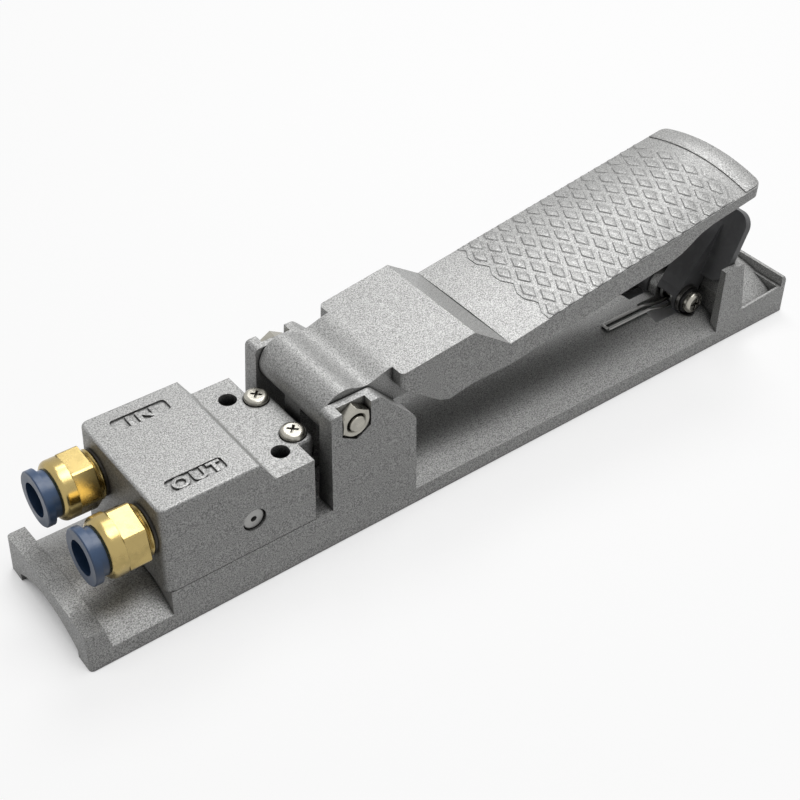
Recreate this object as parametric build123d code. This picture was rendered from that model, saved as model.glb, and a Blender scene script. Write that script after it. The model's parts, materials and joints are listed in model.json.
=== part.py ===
from build123d import *
from math import cos, radians, sin, sqrt, tan
import os

# Sandblaster control handle: a saddle-shaped casting that is strapped along a
# blast hose, a three-way air valve at its front, a squeeze lever, and a
# fold-away lock under the lever's tip. Millimetres. Stations run along +X from
# the fitting end, Y is across the hose, Z is up from the feet.

# Base casting
base_length = 221.0
base_half_width = 18.55
draft = tan(radians(2.5))
rail_height = 3.45
saddle_crown = 10.2
hose_radius = 24.0
hose_crown = 6.0
foot_inner = 13.2
ridge_end = 4.4
ridge_foot = 5.6
ridge_height = 10.1
ridge_crown = 0.8
end_corner = 1.0

# Valve seat on the base
seat_start = 20.2
seat_height = 10.66
seat_end = 62.0

# Valve body
body_front = 19.45
body_top = 33.65
body_step = 43.7
ramp_run = 3.65
shelf_height = 28.0
body_rear = 57.4
body_inset = 0.12
body_corner = 2.0
edge_round = 0.6
tongue_reach = 4.35
tongue_half_width = 11.0
tongue_thickness = 6.0
post_front = 56.2
post_clearance = 0.1
pocket_start = 24.7
pocket_length = 13.6
pocket_width = 3.9
pocket_offset = 11.5
pocket_depth = 0.5

# Mounting holes through the shelf, and the screws that hold the valve body
mount_hole_x = 52.95
mount_hole_pitch = 21.34
mount_hole_radius = 2.15
body_screw_x = 58.5
body_screw_y = 7.3
body_screw_radius = 1.5
body_screw_head_radius = 2.95
body_screw_head_height = 1.9
body_screw_length = 14.0

# Ports and push-in fittings for 8 mm tube
port_y = 10.24
port_z = 24.3
thread_radius = 4.8
port_clearance = 0.06
thread_length = 9.0
hex_across = 12.9
hex_start = 12.1
hex_end = 17.0
hex_turn_near = 13.6
hex_turn_far = 27.2
collar_start = 8.4
collar_radius = 6.95
collar_round = 1.6
shoulder_radius = 5.9
turn_pitch = 0.9
turn_depth = 0.35
cartridge_radius = 5.5
cartridge_end = 15.0
tube_seat_radius = 4.1
tube_seat_end = 17.6
fitting_passage = 3.0
release_start = 4.8
release_flange = 1.8
release_flange_radius = 6.5
release_sleeve_radius = 5.42
release_end = 11.2
tube_bore_radius = 4.05
release_travel = 1.0

# Spool valve
spool_z = 17.5
bore_start = 22.0
bore_radius = 3.5
guide_start = 50.0
guide_radius = 4.4
guide_end = post_front - post_clearance
spool_front = 31.0
spool_head_end = 45.0
spool_head_radius = 3.3
plunger_radius = 2.0
running_clearance = 0.05
spool_grooves = (33.2, 37.6, 43.2)
groove_width = 1.7
groove_radius = 2.2
seal_section = 0.64
vent_x = 41.6
vent_z = 19.3
vent_radius = 2.9
vent_recess = 0.5
gallery_radius = 1.5

# Hinge
hinge_x = 68.8
hinge_z = 32.7
hinge_bolt_radius = 2.0
barrel_radius = 6.1
ear_thickness = 5.95
ear_clearance = 0.3
ear_inner = base_half_width - ear_thickness
barrel_half_width = ear_inner - ear_clearance
bush_radius = 3.0
bush_length = 3.0
ear_front = 62.0
ear_rear = 86.0
ear_top = 37.0
ear_slope_start = 13.2
ear_slope_drop = 7.1
ear_shoulder_round = 3.4
nut_seat = 4.15
nut_recess_depth = base_half_width - nut_seat
nut_recess_half = 3.9
nut_across = 7.0
nut_thickness = 2.7

# Lever
lever_half_width = 17.5
tip_half_width = 17.66
neck_end = 82.0
barrel_blend = 25.0
valley_fall = 5.0
valley_rise = 4.5
tip_setback = 22.5
pad_front_z = 39.3
pad_front_half = 16.0
pad_end = 102.5
pad_end_z = 42.4
pad_end_half = 16.4
paddle_start = 113.2
paddle_start_z = 35.1
paddle_end = base_length - tip_setback
paddle_end_z = 49.3
crown_start = 0.25
crown_end = 2.85
lever_wall = 1.7
lever_skin = 1.7
tip_wall = 2.2
tip_corner = 2.0
pad_corner = 1.2
skirt_front = ((80.0, 36.9), (82.4, 35.2), (85.6, 32.4), (93.6, 26.6), (96.3, 25.7), (105.2, 27.5), (116.5, 29.0))
skirt_rear = ((-68.8, 31.2), (-44.1, 34.9), (-31.5, 36.8), (-27.5, 38.2), (-21.0, 42.0), (-17.0, 43.3),
              (-6.0, 45.2), (2.0, 46.6))
nose_half_width = 3.1
nose_gap = 0.15
nose_tip_z = 15.0

# Torsion spring round the hinge bolt
return_coil_low = 5.0
return_coil_high = 8.4
return_coil_radius = 3.7
return_wire = 0.45
return_turns = 2.75
return_leg_end = 82.8
neck_underside = hinge_z - return_coil_radius + return_wire + 0.1

# Lever lock
lock_setback = 33.0
lock_x = base_length - lock_setback
lock_z = 12.0
lock_lean = 20.5
lock_plate = 2.2
lock_offset = 2.4
wing_half_width = 15.6
wing_bottom = 7.3
wing_top = 28.0
wing_low_corner = 4.2
wing_high_corner = 4.0
arm_drop = 5.0
arm_inner = 1.65
arm_outer = 8.6
lock_boss_radius = 4.5
lug_half_width = 1.4
lug_radius = 3.9
lock_screw_radius = 2.0
lock_head_radius = 3.15
lock_head_height = 1.9
lock_bush_radius = 4.1
washer_radius = 3.65
washer_thickness = 0.8

# Torsion spring of the lock
lock_coil_low = -7.6
lock_coil_high = -arm_inner
lock_coil_radius = 3.0
lock_wire = 0.45
lock_coil_pitch = 0.96
lock_coil_turns = 1.25
lock_leg_gap = 1.1
lock_leg_bend = 3.0
lock_leg_reach = 26.4
lock_leg_front = lock_x - lock_leg_reach

# Rear of the base
well_start = lock_x - 11.5
well_end = lock_x + 5.3
well_half_width = 9.4
pivot_relief = 4.3
pivot_relief_half = 12.2
cheek_front = lock_x + 3.8
cheek_gap = 0.2
bulkhead_front = lock_x + 5.75
bulkhead_rear = lock_x + 11.3
bulkhead_foot = lock_x + 13.6
bulkhead_height = 23.8
tray_wall_front = 7.6
tray_wall_height = 8.9
tray_wall = 1.1
rim_start = base_length - 3.6
lip_front = base_length - 2.6
lip_rear = base_length - 1.6
lip_height = 11.9
end_height = 9.4

half_length = base_length / 2
envelope_height = paddle_end_z + 2 * crown_end
station = Pos(-half_length, 0, 0)


def side_width(z):
    """Half width of the drafted flank at height z."""
    return base_half_width - z * draft


def block(x0, x1, y0, y1, z0, z1):
    """Box between two corners."""
    return Pos((x0 + x1) / 2, (y0 + y1) / 2, (z0 + z1) / 2) * Box(x1 - x0, y1 - y0, z1 - z0)


def rod_x(x0, x1, y, z, r):
    """Round bar along X."""
    return Pos((x0 + x1) / 2, y, z) * Rot(0, 90, 0) * Cylinder(r, x1 - x0)


def rod_y(x, z, y0, y1, r):
    """Round bar along Y."""
    return Pos(x, (y0 + y1) / 2, z) * Rot(90, 0, 0) * Cylinder(r, y1 - y0)


def rod_z(x, y, z0, z1, r):
    """Round bar along Z."""
    return Pos(x, y, (z0 + z1) / 2) * Cylinder(r, z1 - z0)


def side_plate(points, y0, y1, rounded=(), radius=0.0):
    """Outline in the XZ plane, as thick as y0 to y1, with the corners at some points rounded."""
    face = make_face(Polyline(*points, close=True))
    corners = [v for v in face.vertices() if any(abs(v.X - x) + abs(v.Y - z) < 0.01 for x, z in rounded)]
    if corners:
        face = fillet(corners, radius)
    return extrude(Plane.XZ.offset(-y1) * face, amount=y1 - y0)


def cross_bar(points, x0, x1):
    """Outline in the YZ plane, carried from x0 to x1."""
    face = Plane.YZ.offset(x0) * make_face(Polyline(*points, close=True))
    return extrude(face, amount=x1 - x0)


def mirrored(shape):
    """The shape and its mirror image across the hose."""
    return shape + mirror(shape, about=Plane.XZ)


def flank_envelope(inset=0.0):
    """Everything between the drafted flanks."""
    low = side_width(0) - inset
    high = side_width(envelope_height) - inset
    outline = [(-low, 0), (low, 0), (high, envelope_height), (-high, envelope_height)]
    return cross_bar(outline, 0, base_length)


def arched_bar(x0, x1, half, edge_z, crown_z, floor_z=0.0):
    """Bar along X with straight sides and an arched top."""
    outline = [
        Line((-half, floor_z), (half, floor_z)),
        Line((half, floor_z), (half, edge_z)),
        ThreePointArc((half, edge_z), (0, crown_z), (-half, edge_z)),
        Line((-half, edge_z), (-half, floor_z)),
    ]
    face = Plane.YZ.offset(x0) * make_face(outline)
    return extrude(face, amount=x1 - x0)


def rounded_slot(x0, x1, y0, y1, z0, z1, radius):
    """Pocket with rounded corners in plan."""
    outline = Pos((x0 + x1) / 2, (y0 + y1) / 2, z0) * RectangleRounded(x1 - x0, y1 - y0, radius)
    return extrude(outline, amount=z1 - z0)


def hexagon_x(x0, x1, y, z, across, turn):
    """Hexagonal bar along X, turned about X from a corner on top."""
    face = RegularPolygon(across / 2, 6, major_radius=False)
    return Pos(x0, y, z) * Rot(-turn, 0, 0) * Rot(0, 90, 0) * extrude(face, amount=x1 - x0)


def hexagon_y(x, z, y0, y1, across):
    """Hexagonal bar along Y with a corner on top."""
    face = RegularPolygon(across / 2, 6, major_radius=False, rotation=90)
    return Pos(x, y1, z) * Rot(90, 0, 0) * extrude(face, amount=y1 - y0)


def ring_x(x, y, z, major, minor):
    """Seal ring round X, its section an octagon."""
    profile = Pos(major, 0, 0) * Rot(90, 0, 0) * RegularPolygon(minor, 8)
    return Pos(x, y, z) * Rot(0, 90, 0) * revolve(profile, Axis.Z)


def bent_wire(edges, radius):
    """Wire of eight flats along edges that follow one another."""
    path = Wire(edges)
    section = Plane(origin=path @ 0, z_dir=path % 0) * RegularPolygon(radius, 8)
    return sweep(section, path=path, transition=Transition.TRANSFORMED)


# Base casting
def saddle_shell():
    """Saddle along the whole length, hollow below for the hose."""
    half = side_width(rail_height) - 0.05
    return arched_bar(0, base_length, half + 1, rail_height, saddle_crown)


def saddle_top(y):
    """Height of the saddle's top at distance y from the middle."""
    half = side_width(rail_height) + 0.95
    rise = saddle_crown - rail_height
    radius = (half * half + rise * rise) / (2 * rise)
    return sqrt(radius ** 2 - y ** 2) - radius + saddle_crown


def hose_channel():
    """Room for the hose, between the two feet."""
    overrun = 5.0
    pipe = rod_x(-overrun, base_length + overrun, 0, hose_crown - hose_radius, hose_radius)
    return pipe & block(-overrun, base_length + overrun, -foot_inner, foot_inner, -overrun, hose_crown + 1)


def hinge_ear():
    """Ear on the near side, with its nut recess open at the top."""
    front_top = (ear_front, ear_top)
    slope_top = (ear_front + ear_slope_start, ear_top)
    shoulder = (ear_rear - 0.4, ear_top - ear_slope_drop - ear_shoulder_round)
    outline = [(ear_front, rail_height), front_top, slope_top, shoulder, (ear_rear, rail_height)]
    ear = side_plate(outline, -base_half_width - 1, -ear_inner, [front_top], 1.2)
    for x, z, radius in ((*shoulder, ear_shoulder_round), (*slope_top, 2.0)):
        corner = ear.edges().filter_by(Axis.Y).sort_by_distance((x, -ear_inner - ear_thickness / 2, z))[0]
        ear = fillet(corner, radius)
    recess_floor = -nut_recess_depth
    outer = -base_half_width - 1
    ear -= hexagon_y(hinge_x, hinge_z, outer, recess_floor, 2 * nut_recess_half)
    recess_top = block(hinge_x - nut_recess_half, hinge_x + nut_recess_half, outer, recess_floor, hinge_z, ear_top + 1)
    return ear - recess_top


def seat_post():
    """Post that carries the tongue and lets the plunger through."""
    post_rear = body_rear + tongue_reach - 0.15
    tongue_underside = shelf_height - tongue_thickness
    post = block(post_front, post_rear, -tongue_half_width, tongue_half_width, seat_height - 1, tongue_underside)
    post -= rod_x(post_front - 1, post_rear + 1, 0, spool_z, plunger_radius + 0.6)
    nose_slot = nose_half_width + 0.6
    return post - block(post_rear - 2.6, post_rear + 1, -nose_slot, nose_slot, seat_height, tongue_underside + 1)


def front_ridge():
    """Raised end band in front of the clamp groove, sloping down behind."""
    ridge = arched_bar(0, ridge_foot, base_half_width, ridge_height, ridge_height + ridge_crown)
    overrun = 3.0
    slope = side_plate(
        [(ridge_end, ridge_height), (ridge_foot + 0.01, rail_height), (ridge_foot + overrun, rail_height),
         (ridge_foot + overrun, ridge_height + overrun), (ridge_end, ridge_height + overrun)],
        -base_half_width - 1, base_half_width + 1)
    return ridge - slope


def lock_lug():
    """Rib along the well that ends in the lock's pivot eye."""
    rib = block(well_start - 1, well_end + 1, -lug_half_width, lug_half_width, hose_crown + 0.4, saddle_crown - 0.3)
    eye = rod_y(lock_x, lock_z, -lug_half_width, lug_half_width, lug_radius)
    neck = block(lock_x - lug_radius, lock_x + lug_radius, -lug_half_width, lug_half_width, hose_crown + 0.5, lock_z)
    return rib + neck + eye


def seat_station(z):
    """Station of the wall's leaning face at height z, just behind the lock's plate."""
    lean = radians(lock_lean)
    return lock_x + (lock_offset + lock_plate + running_clearance) / cos(lean) + (z - lock_z) * tan(lean)


def bulkhead():
    """Wall flush with the flanks, with a leaning recess in front that the lock rests against."""
    seat_low = lock_z + (bulkhead_front - seat_station(lock_z)) / tan(radians(lock_lean))
    over = bulkhead_height + 1
    recess_half = wing_half_width + cheek_gap
    outer = base_half_width + 1
    foot_z = rail_height - 1
    outline = [
        Line((cheek_front, foot_z), (cheek_front, bulkhead_height)),
        Line((cheek_front, bulkhead_height), (bulkhead_rear, bulkhead_height)),
        Line((bulkhead_rear, bulkhead_height), (bulkhead_foot, saddle_crown - 1)),
        Line((bulkhead_foot, saddle_crown - 1), (bulkhead_foot, foot_z)),
        Line((bulkhead_foot, foot_z), (cheek_front, foot_z)),
    ]
    wall = extrude(Plane.XZ.offset(-outer) * make_face(outline), amount=2 * outer)
    recess = side_plate(
        [(cheek_front - 1, foot_z - 1), (bulkhead_front, foot_z - 1), (bulkhead_front, seat_low),
         (seat_station(over), over), (cheek_front - 1, over)], -recess_half, recess_half)
    return wall - recess


def tray_walls():
    """Low walls, rim and thin lip round the tray behind the bulkhead."""
    outer = side_width(0)
    side = side_plate(
        [(bulkhead_rear - 1, 0.5), (bulkhead_rear - 1, tray_wall_front), (rim_start, tray_wall_height),
         (lip_front + 0.1, tray_wall_height), (lip_front + 0.1, 0.5)], -outer, -outer + tray_wall)
    rim = side_plate(
        [(rim_start, 0.5), (rim_start, tray_wall_height), (lip_front, tray_wall_height), (lip_front, lip_height),
         (lip_rear, lip_height), (base_length, end_height), (base_length, 0.5)], -outer, outer)
    return mirrored(side) + rim


def make_base_casting():
    """The saddle, the valve seat, the ears, the lock's well and the tray."""
    casting = saddle_shell() + front_ridge()
    casting += block(seat_start, seat_end, -base_half_width, base_half_width, 0.5, seat_height)
    casting += mirrored(hinge_ear())
    casting += seat_post()
    stop_x = hinge_x - 1.6
    casting += block(stop_x, stop_x + 2.3, -nose_half_width, nose_half_width, saddle_crown - 2, nose_tip_z + 2)
    casting += bulkhead() + tray_walls()
    casting &= flank_envelope()
    ends = casting.edges().filter_by(lambda e: abs(e.tangent_at(0.5).Z) > 0.9).group_by(Axis.X)
    casting = fillet(ends[0] + ends[-1], end_corner)
    casting -= hose_channel()
    casting -= block(well_start, well_end, -well_half_width, well_half_width, -1, saddle_crown + 2)
    casting -= rod_y(lock_x, lock_z, -pivot_relief_half, pivot_relief_half, pivot_relief)
    casting += lock_lug()
    casting -= rod_y(lock_x, lock_z, -lug_half_width - 1, lug_half_width + 1, lock_screw_radius + running_clearance)
    reach = base_half_width + 1
    casting -= rod_y(hinge_x, hinge_z, -reach, reach, hinge_bolt_radius + running_clearance)
    for side in (-1, 1):
        casting -= rod_z(mount_hole_x, side * mount_hole_pitch / 2, -1, seat_height + 1, mount_hole_radius)
        screw_bottom = shelf_height - body_screw_length - 1
        casting -= rod_z(body_screw_x, side * body_screw_y, screw_bottom, shelf_height, body_screw_radius + 0.03)
    return casting


# Valve body and what is inside it
def gallery(port_side, port_x, bore_x):
    """Slanted drilling from a port to the spool bore."""
    start = Vector(port_x, port_side * port_y, port_z)
    end = Vector(bore_x, 0, spool_z)
    run = end - start
    return Plane(origin=start + run * 0.5, z_dir=run) * Cylinder(gallery_radius, run.length)


def make_valve_body():
    """Stepped block with two ports in front and the spool bore behind."""
    outline = [
        (body_front, seat_height), (body_front, body_top), (body_step, body_top),
        (body_step + ramp_run, shelf_height), (body_rear, shelf_height), (body_rear, seat_height),
    ]
    body = side_plate(outline, -base_half_width, base_half_width) & flank_envelope(body_inset)
    upright = body.edges().filter_by(lambda e: abs(e.tangent_at(0.5).Z) > 0.9)
    body = fillet(upright.group_by(Axis.X)[0], body_corner)
    body = fillet(body.faces().sort_by(Axis.Z)[-1].edges(), edge_round)
    tongue_rear = body_rear + tongue_reach
    tongue = rounded_slot(body_rear - 6, tongue_rear, -tongue_half_width, tongue_half_width,
                          shelf_height - tongue_thickness, shelf_height, 1.6)
    tongue = fillet(tongue.faces().sort_by(Axis.Z)[-1].edges().sort_by(Axis.X)[-1], 0.8)
    body += tongue
    body -= block(post_front - post_clearance, body_rear + 1, -tongue_half_width - post_clearance,
                  tongue_half_width + post_clearance, seat_height - 1, shelf_height - tongue_thickness)
    for side in (-1, 1):
        body -= rounded_slot(pocket_start, pocket_start + pocket_length, side * pocket_offset - pocket_width / 2,
                             side * pocket_offset + pocket_width / 2, body_top - pocket_depth, body_top + 1, 0.9)
        body -= rod_x(body_front - 1, body_front + thread_length, side * port_y, port_z, thread_radius + port_clearance)
        body -= rod_x(body_front, body_front + thread_length + 4, side * port_y, port_z, fitting_passage - 0.5)
        body -= gallery(side, body_front + thread_length + 2.5, spool_grooves[0] + 2.2 + 2.2 * (1 - side))
        body -= rod_z(mount_hole_x, side * mount_hole_pitch / 2, seat_height - 1, shelf_height + 1, mount_hole_radius)
        body -= rod_z(body_screw_x, side * body_screw_y, 0, shelf_height + 1, body_screw_radius + 0.1)
        body -= rod_z(body_screw_x, side * body_screw_y, shelf_height - 0.5, shelf_height + 1,
                      body_screw_head_radius + 0.2)
    body -= rod_x(bore_start, guide_start, 0, spool_z, bore_radius)
    body -= rod_x(guide_start, body_rear + 1, 0, spool_z, guide_radius)
    body -= rod_y(vent_x, vent_z, -base_half_width - 1, 0, 0.8)
    body -= rod_y(vent_x, vent_z, -base_half_width - 1, -base_half_width + 4.5, vent_radius)
    return body


def make_vent_plug():
    """Turned vent plug in the near flank, with a bleed hole."""
    outer = -(side_width(vent_z) - body_inset) + vent_recess
    inner = -base_half_width + 4.5
    plug = rod_y(vent_x, vent_z, outer, inner, vent_radius - 0.05)
    plug = fillet(plug.faces().sort_by(Axis.Y)[0].edges(), 0.6)
    return plug - rod_y(vent_x, vent_z, outer - 1, inner + 1, 0.75)


def make_spool():
    """Spool with three seal grooves and the plunger that the lever pushes."""
    plunger_end = hinge_x - barrel_radius + 0.05 - nose_gap
    spool = rod_x(spool_front, spool_head_end, 0, spool_z, spool_head_radius)
    spool += rod_x(spool_head_end, plunger_end, 0, spool_z, plunger_radius)
    spool = fillet(spool.faces().sort_by(Axis.X)[-1].edges(), 0.9)
    for x in spool_grooves:
        groove = rod_x(x - groove_width / 2, x + groove_width / 2, 0, spool_z, spool_head_radius + 1)
        spool -= groove - rod_x(x - groove_width, x + groove_width, 0, spool_z, groove_radius)
    return spool


def make_spool_seals():
    """O-rings in the spool's grooves."""
    major = groove_radius + seal_section
    return Compound([ring_x(x, 0, spool_z, major, seal_section) for x in spool_grooves])


def make_spool_guide():
    """Bronze bush that guides the plunger, with a wiper groove."""
    guide = rod_x(guide_start, guide_end, 0, spool_z, guide_radius - 0.02)
    guide -= rod_x(guide_start - 1, body_rear + 1, 0, spool_z, plunger_radius + running_clearance)
    groove_x = (guide_start + guide_end) / 2
    groove = rod_x(groove_x - 0.8, groove_x + 0.8, 0, spool_z, plunger_radius + 1.3)
    return guide - groove


def make_wiper_seal():
    """O-ring that wipes the plunger."""
    section = 0.6
    return ring_x((guide_start + guide_end) / 2, 0, spool_z, plunger_radius + 0.06 + section, section)


def coil_x(x0, x1, y, z, mean_radius, wire_radius, turns):
    """Compression spring along X."""
    height = x1 - x0 - 2 * wire_radius
    coil = Helix(pitch=height / turns, height=height, radius=mean_radius)
    return Pos(x0 + wire_radius, y, z) * Rot(0, 90, 0) * bent_wire([coil], wire_radius)


def make_spool_spring():
    """Spring that brings the spool back."""
    return coil_x(bore_start + 0.1, spool_front - 0.1, 0, spool_z, 2.6, 0.4, 4)


def make_body_screws():
    """Two cross-recessed pan heads that hold the valve body down."""
    screws = []
    for side in (-1, 1):
        head_z = shelf_height - 0.5
        y = side * body_screw_y
        head = rod_z(body_screw_x, y, head_z, head_z + body_screw_head_height, body_screw_head_radius)
        head = fillet(head.faces().sort_by(Axis.Z)[-1].edges(), 1.0)
        for turn in (0, 90):
            head -= Pos(body_screw_x, y, head_z + body_screw_head_height) * Rot(0, 0, 45 + turn) * Box(2.7, 0.6, 1.8)
        shank = rod_z(body_screw_x, y, shelf_height - body_screw_length, head_z, body_screw_radius)
        screws.append(head + shank)
    return Compound(screws)


# Push-in fittings
def make_fitting(side):
    """Brass fitting: round nose, hexagon, shoulder and threaded shank."""
    y = side * port_y
    nose = rod_x(collar_start, hex_start, y, port_z, collar_radius)
    nose = fillet(nose.faces().sort_by(Axis.X)[0].edges(), collar_round)
    turn = hex_turn_near if side < 0 else hex_turn_far
    hexagon = hexagon_x(hex_start, hex_end, y, port_z, hex_across, turn)
    hexagon &= rod_x(hex_start, hex_end, y, port_z, hex_across * 0.565)
    shank = rod_x(hex_end, body_front + thread_length - 0.5, y, port_z, thread_radius)
    fitting = nose + hexagon + shank
    for k in range(2):
        start = hex_end + k * turn_pitch
        root = shoulder_radius - turn_depth
        rise = Cone(root, shoulder_radius, turn_pitch / 2, align=(Align.CENTER, Align.CENTER, Align.MIN))
        fall = Cone(shoulder_radius, root, turn_pitch / 2, align=(Align.CENTER, Align.CENTER, Align.MIN))
        fitting += Pos(start, y, port_z) * Rot(0, 90, 0) * (rise + Pos(0, 0, turn_pitch / 2) * fall)
    fitting -= rod_x(0, cartridge_end, y, port_z, cartridge_radius)
    fitting -= rod_x(0, tube_seat_end, y, port_z, tube_seat_radius)
    return fitting - rod_x(0, body_front + thread_length + 1, y, port_z, fitting_passage)


def make_thread_seal(side):
    """Sealing ring between the fitting's last turn and the body."""
    y = side * port_y
    seal = rod_x(hex_end + 2 * turn_pitch + 0.05, body_front - 0.05, y, port_z, shoulder_radius - turn_depth)
    return seal - rod_x(hex_end - 1, body_front + 1, y, port_z, thread_radius + 0.02)


def make_grab_ring(side):
    """Dished steel ring that grips the tube."""
    y = side * port_y
    start = release_end + release_travel + 0.3
    outer = Pos(start, y, port_z) * Rot(0, 90, 0) * Cone(
        cartridge_radius - 0.5, cartridge_radius - 0.06, 0.8, align=(Align.CENTER, Align.CENTER, Align.MIN))
    inner = Pos(start, y, port_z) * Rot(0, 90, 0) * Cone(
        tube_seat_radius + 0.65, tube_seat_radius + 0.08, 0.8, align=(Align.CENTER, Align.CENTER, Align.MIN))
    return outer - inner


def make_tube_seal(side):
    """O-ring that seals on the tube."""
    section = 0.62
    return ring_x(cartridge_end - section - 0.1, side * port_y, port_z, cartridge_radius - section - 0.05, section)


def make_release_ring(side):
    """Release sleeve with its push flange."""
    y = side * port_y
    flange = rod_x(release_start, release_start + release_flange, y, port_z, release_flange_radius)
    flange = chamfer(flange.faces().sort_by(Axis.X)[0].edges(), 0.25)
    sleeve = rod_x(release_start + release_flange, release_end, y, port_z, release_sleeve_radius)
    return flange + sleeve - rod_x(0, release_end + 1, y, port_z, tube_bore_radius)


# Hinge hardware
def make_hinge_bolt():
    """Bolt with its hexagon head in the far ear's recess."""
    shank_end = -(nut_recess_depth + nut_thickness + 0.6)
    shank = rod_y(hinge_x, hinge_z, shank_end, nut_recess_depth, hinge_bolt_radius)
    shank = chamfer(shank.faces().sort_by(Axis.Y)[0].edges(), 0.3)
    head = hexagon_y(hinge_x, hinge_z, nut_recess_depth, nut_recess_depth + nut_thickness, nut_across)
    return shank + head


def make_hinge_nut():
    """Nut in the near ear's recess."""
    outer = -(nut_recess_depth + nut_thickness)
    nut = hexagon_y(hinge_x, hinge_z, outer, -nut_recess_depth, nut_across)
    dome = Pos(hinge_x, outer, hinge_z) * Rot(-90, 0, 0) * Cone(
        nut_across * 0.485, nut_across * 0.485 + 2 * nut_thickness, nut_thickness,
        align=(Align.CENTER, Align.CENTER, Align.MIN))
    sink = Pos(hinge_x, outer, hinge_z) * Rot(-90, 0, 0) * Cone(
        hinge_bolt_radius + 0.7, hinge_bolt_radius + 0.01, 0.7, align=(Align.CENTER, Align.CENTER, Align.MIN))
    nut = (nut & dome) - sink
    return nut - rod_y(hinge_x, hinge_z, outer - 1, -nut_recess_depth + 1, hinge_bolt_radius + 0.01)


def make_hinge_bushes():
    """Two bronze bushes pressed into the ends of the barrel."""
    bushes = []
    for side in (-1, 1):
        inner = side * (barrel_half_width - bush_length)
        outer = side * barrel_half_width
        low, high = min(inner, outer), max(inner, outer)
        bush = rod_y(hinge_x, hinge_z, low, high, bush_radius)
        bushes.append(bush - rod_y(hinge_x, hinge_z, low - 1, high + 1, hinge_bolt_radius + running_clearance))
    return Compound(bushes)


def make_return_spring():
    """Torsion spring round the hinge bolt: one leg on the saddle, one under the lever's neck."""
    height = return_coil_high - return_coil_low - 2 * return_wire
    coil = Helix(pitch=height / return_turns, height=height, radius=return_coil_radius)
    start, end = coil @ 0, coil @ 1
    foot_z = saddle_top(return_coil_high - 2 * return_wire) + 0.2
    lower_leg = Line(start - Vector(0, hinge_z - foot_z, 0), start)
    upper_leg = Line(end, end + Vector(return_leg_end - hinge_x, 0, 0))
    spring = bent_wire([lower_leg, coil, upper_leg], return_wire)
    return Pos(hinge_x, return_coil_high - return_wire, hinge_z) * Rot(90, 0, 0) * spring


# Lever
def paddle_top(x):
    """Height of the paddle's edge at station x."""
    slope = (paddle_end_z - paddle_start_z) / (paddle_end - paddle_start)
    return paddle_start_z + (x - paddle_start) * slope


def paddle_section(x, half, top, crown, depth):
    """Arched section of the paddle at station x."""
    outline = [
        Line((-half, top - depth), (half, top - depth)),
        Line((half, top - depth), (half, top)),
        ThreePointArc((half, top), (0, top + crown), (-half, top)),
        Line((-half, top), (-half, top - depth)),
    ]
    return Plane.YZ.offset(x) * make_face(outline)


def lever_outer():
    """Pad, step and crowned paddle before they are hollowed."""
    deep = 20.0
    paddle = loft([
        paddle_section(paddle_start, lever_half_width, paddle_start_z, crown_start, 8.0),
        paddle_section(paddle_end, tip_half_width, paddle_end_z, crown_end, 8.0),
    ])
    pad = side_plate(
        [(neck_end, pad_front_z - deep), (neck_end, pad_front_z), (pad_end, pad_end_z),
         (paddle_start, paddle_start_z), (paddle_start + 0.5, paddle_start_z - deep)],
        -lever_half_width, lever_half_width)
    plan = make_face(Polyline(
        (neck_end - 3, -pad_front_half), (pad_end, -pad_end_half), (paddle_start, -lever_half_width),
        (paddle_start + 1, -lever_half_width), (paddle_start + 1, lever_half_width), (paddle_start, lever_half_width),
        (pad_end, pad_end_half), (neck_end - 3, pad_front_half), close=True))
    outer = paddle + (pad & extrude(plan, amount=envelope_height))
    upright = outer.edges().filter_by(Axis.Z).sort_by(Axis.X)
    outer = fillet(upright[-2:], tip_corner)
    upright = outer.edges().filter_by(Axis.Z).sort_by(Axis.X)
    return fillet(upright[:2], pad_corner)


def skirt_cut():
    """Everything below the lower edge of the skirt."""
    edge = list(skirt_front) + [(paddle_end + x, z) for x, z in skirt_rear]
    reach = 2 * base_half_width
    return side_plate(edge + [(edge[-1][0], 0), (edge[0][0], 0)], -reach, reach)


def lever_hollow():
    """Open underside of the lever."""
    inner_half = lever_half_width - lever_wall
    start = paddle_start - 3
    hollow = loft([
        paddle_section(start, inner_half, paddle_top(start) - lever_skin, crown_start, 12.0),
        paddle_section(paddle_end - tip_wall, inner_half, paddle_top(paddle_end - tip_wall) - lever_skin, crown_end, 12.0),
    ])
    pad_hollow = side_plate(
        [(neck_end + 3.5, 0), (neck_end + 3.5, pad_front_z - 3.2), (pad_end - 1.0, pad_end_z - 3.0),
         (start + 0.5, paddle_top(start) - lever_skin), (start + 0.5, 0)],
        -pad_front_half + lever_wall, pad_front_half - lever_wall)
    return hollow + pad_hollow


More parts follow.
